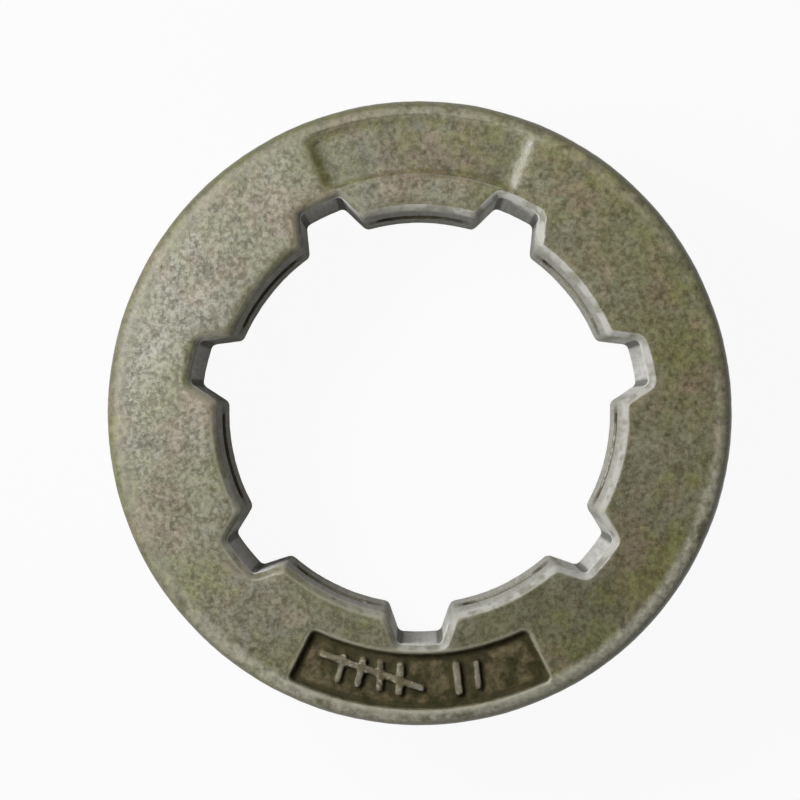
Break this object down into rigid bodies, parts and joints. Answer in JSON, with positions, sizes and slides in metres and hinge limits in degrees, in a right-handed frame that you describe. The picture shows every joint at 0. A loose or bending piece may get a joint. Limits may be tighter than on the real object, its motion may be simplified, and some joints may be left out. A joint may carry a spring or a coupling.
{
  "type": "chainsaw rim sprocket",
  "caption": "Flat steel ring with a splined bore and a row of pockets round its rim; it floats on a clutch hub and drives a saw chain.",
  "frame": {"origin": "on the ring's axis, at the plain back face it lies on", "axes": "+Z along the ring's axis, out of the face with the two sunk panels; +Y towards the narrower panel; +X completes the right-handed frame"},
  "size_m": [0.035, 0.035, 0.0125],
  "materials": {
    "cast_steel": "matte, fine-grained as-cast surface with a dull grey-olive coat"
  },
  "bodies": {
    "root": {"rim_sprocket": "cast_steel"}
  },
  "joints": []
}
